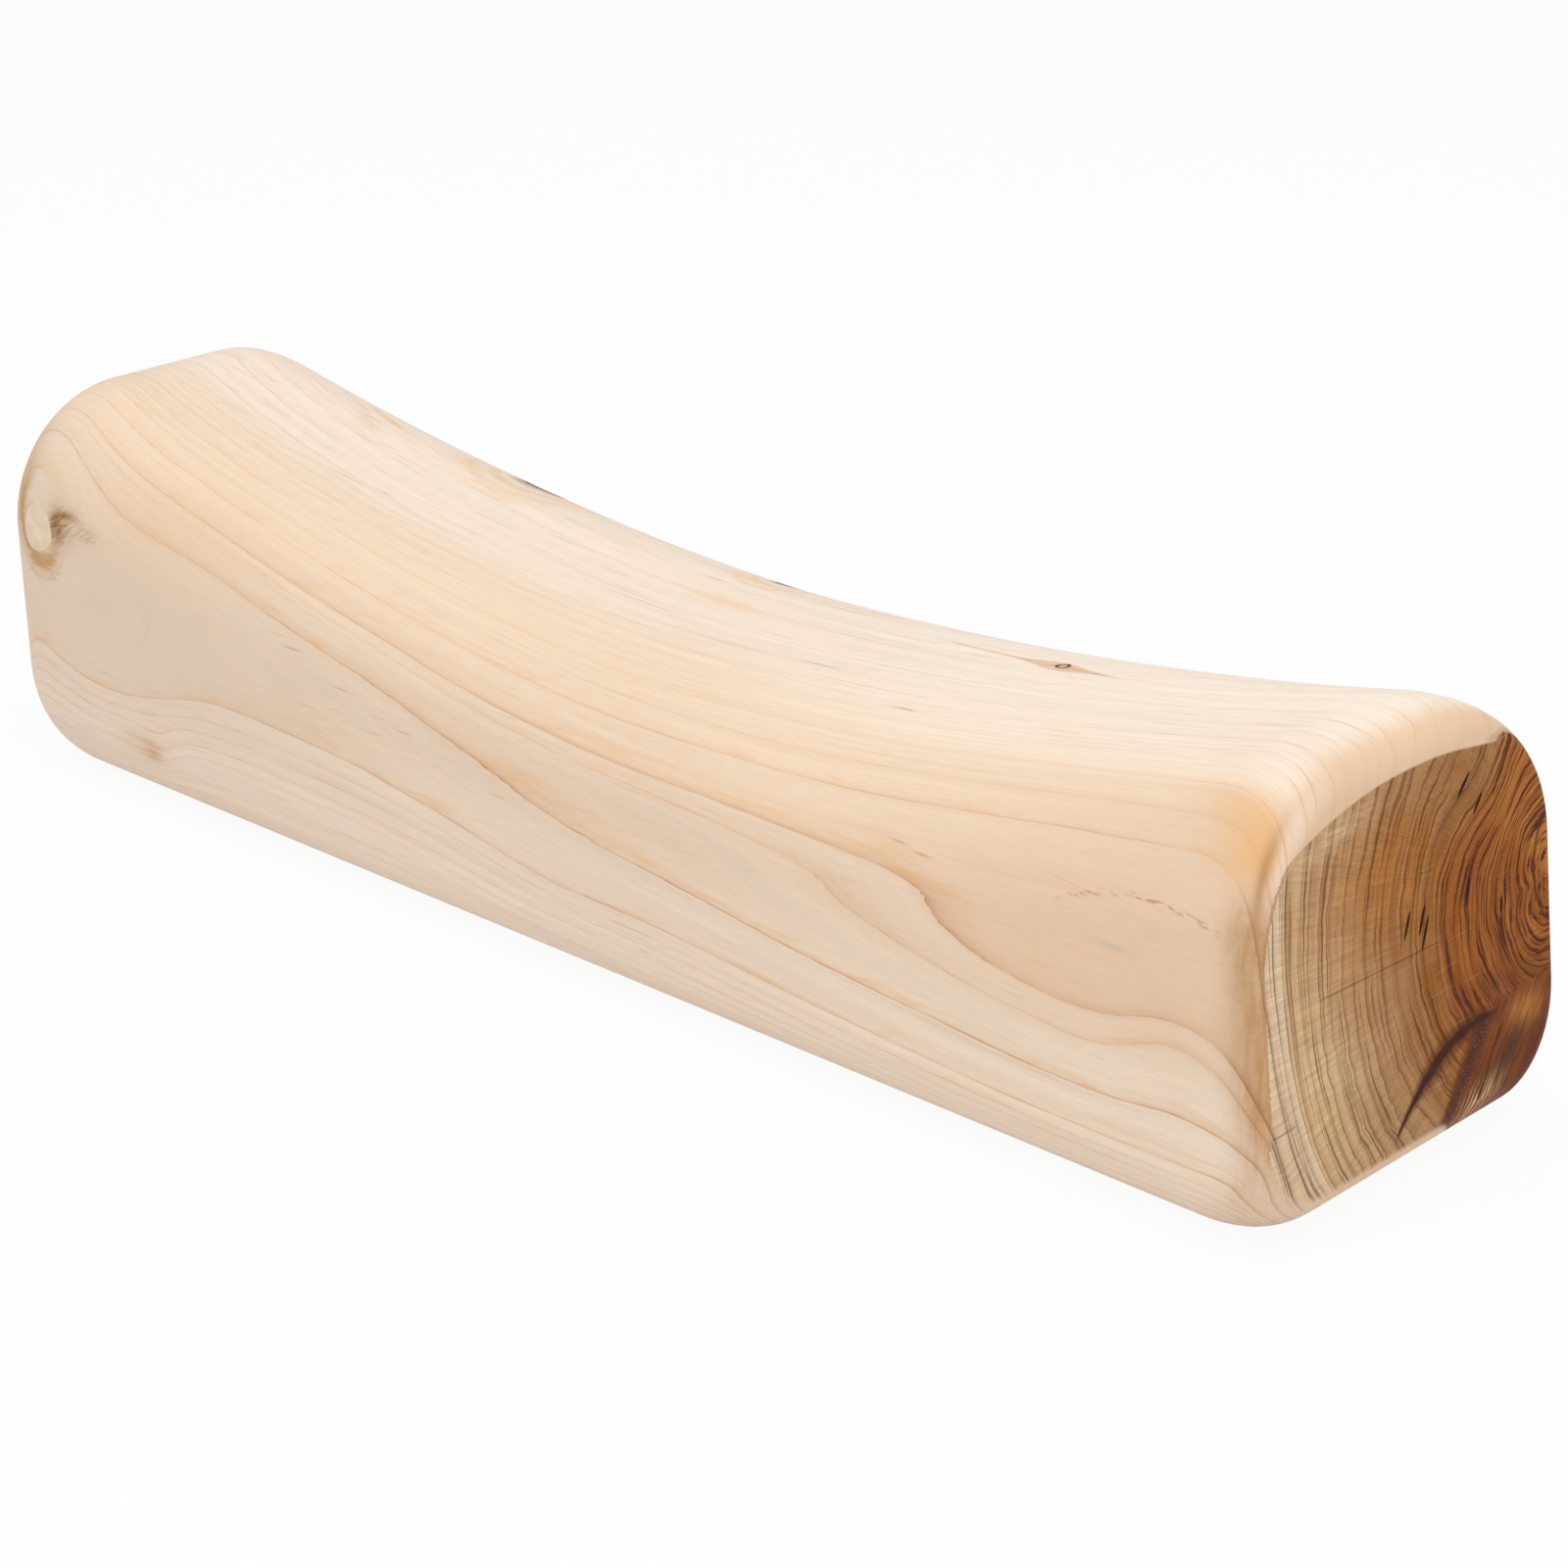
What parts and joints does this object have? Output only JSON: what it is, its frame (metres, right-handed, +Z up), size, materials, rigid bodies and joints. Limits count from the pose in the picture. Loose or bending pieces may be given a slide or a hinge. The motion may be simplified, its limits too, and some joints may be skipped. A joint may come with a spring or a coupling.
{
  "type": "wooden headrest",
  "caption": "Solid wooden neck pillow: one rounded block with a shallow saddle in its top for the neck and a flat base to stand on.",
  "frame": {"origin": "middle of the object's box at the height of the flat base", "axes": "+X along the length towards the leaning end that shows the heartwood, -Y out of the front face, +Z up"},
  "size_m": [0.4, 0.1, 0.0972],
  "materials": {
    "pale_wood": "sanded bare softwood, satin",
    "knot_wood": "sanded dark knot wood",
    "pale_knot": "sanded pale knot wood"
  },
  "bodies": {
    "root": {"headrest_block": "pale_wood", "saddle_pin_knot": "knot_wood", "back_edge_knot": "knot_wood", "back_left_knot": "knot_wood", "left_front_knot": "pale_knot"}
  },
  "joints": []
}
